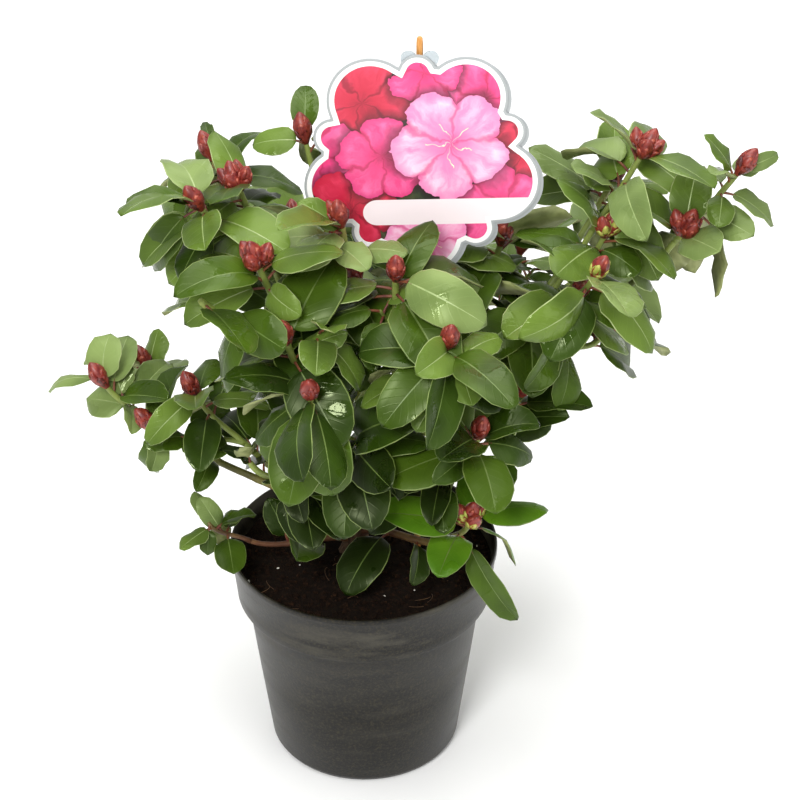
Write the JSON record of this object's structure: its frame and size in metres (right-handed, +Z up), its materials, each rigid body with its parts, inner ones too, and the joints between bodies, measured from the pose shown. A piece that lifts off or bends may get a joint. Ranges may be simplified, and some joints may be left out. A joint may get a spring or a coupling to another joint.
{
  "type": "potted rhododendron",
  "caption": "Evergreen rhododendron shrub with red flower buds in a tapered nursery pot, with a scalloped picture label on a bamboo stick.",
  "frame": {"origin": "centre of the pot's flat underside, on the ground it stands on", "axes": "+Z up; -Y towards the viewer, the side the label faces; +X to the viewer's right"},
  "size_m": [0.4844, 0.3852, 0.5545],
  "materials": {
    "pot_plastic": "dull moulded black plastic with soil dust",
    "peat": "damp crumbly peat with perlite",
    "label_card": "printed plastic card",
    "clear_plastic": "clear moulded plastic",
    "bamboo": "split bamboo",
    "bark": "thin brown bark",
    "green_stem": "green young wood, brown where older",
    "foliage": "leathery leaves, paler beneath, and red bud scales"
  },
  "bodies": {
    "root": {"pot": "pot_plastic", "soil": "peat", "label_card": "label_card", "label_clip": "clear_plastic", "label_stick": "bamboo", "main_stem": "bark", "bough_centre": "green_stem", "bough_centre_left": "green_stem", "bough_crown_inner": "green_stem", "bough_front_left": "green_stem", "bough_front_right": "green_stem", "bough_label_right": "green_stem", "bough_left_low": "green_stem", "bough_left_mid": "green_stem", "bough_left_sprig": "green_stem", "bough_low_front": "green_stem", "bough_low_right": "green_stem", "bough_rear_centre": "green_stem", "bough_rear_left": "green_stem", "bough_rear_right": "green_stem", "bough_right_back": "green_stem", "bough_right_inner": "green_stem", "bough_right_low": "green_stem", "bough_right_mid": "green_stem", "bough_right_tip": "green_stem", "bough_right_top": "green_stem", "bough_skirt_centre": "green_stem", "bough_skirt_left": "green_stem", "bough_skirt_right": "green_stem", "bough_tall_left": "green_stem", "bough_upper_left": "green_stem", "bough_upper_left_front": "green_stem", "foliage_centre": "foliage", "foliage_centre_left": "foliage", "foliage_crown_inner": "foliage", "foliage_front_left": "foliage", "foliage_front_right": "foliage", "foliage_label_right": "foliage", "foliage_left_low": "foliage", "foliage_left_mid": "foliage", "foliage_left_sprig": "foliage", "foliage_low_front": "foliage", "foliage_low_right": "foliage", "foliage_rear_centre": "foliage", "foliage_rear_left": "foliage", "foliage_rear_right": "foliage", "foliage_right_back": "foliage", "foliage_right_inner": "foliage", "foliage_right_low": "foliage", "foliage_right_mid": "foliage", "foliage_right_tip": "foliage", "foliage_right_top": "foliage", "foliage_skirt_centre": "foliage", "foliage_skirt_left": "foliage", "foliage_skirt_right": "foliage", "foliage_tall_left": "foliage", "foliage_upper_left": "foliage", "foliage_upper_left_front": "foliage"}
  },
  "joints": []
}
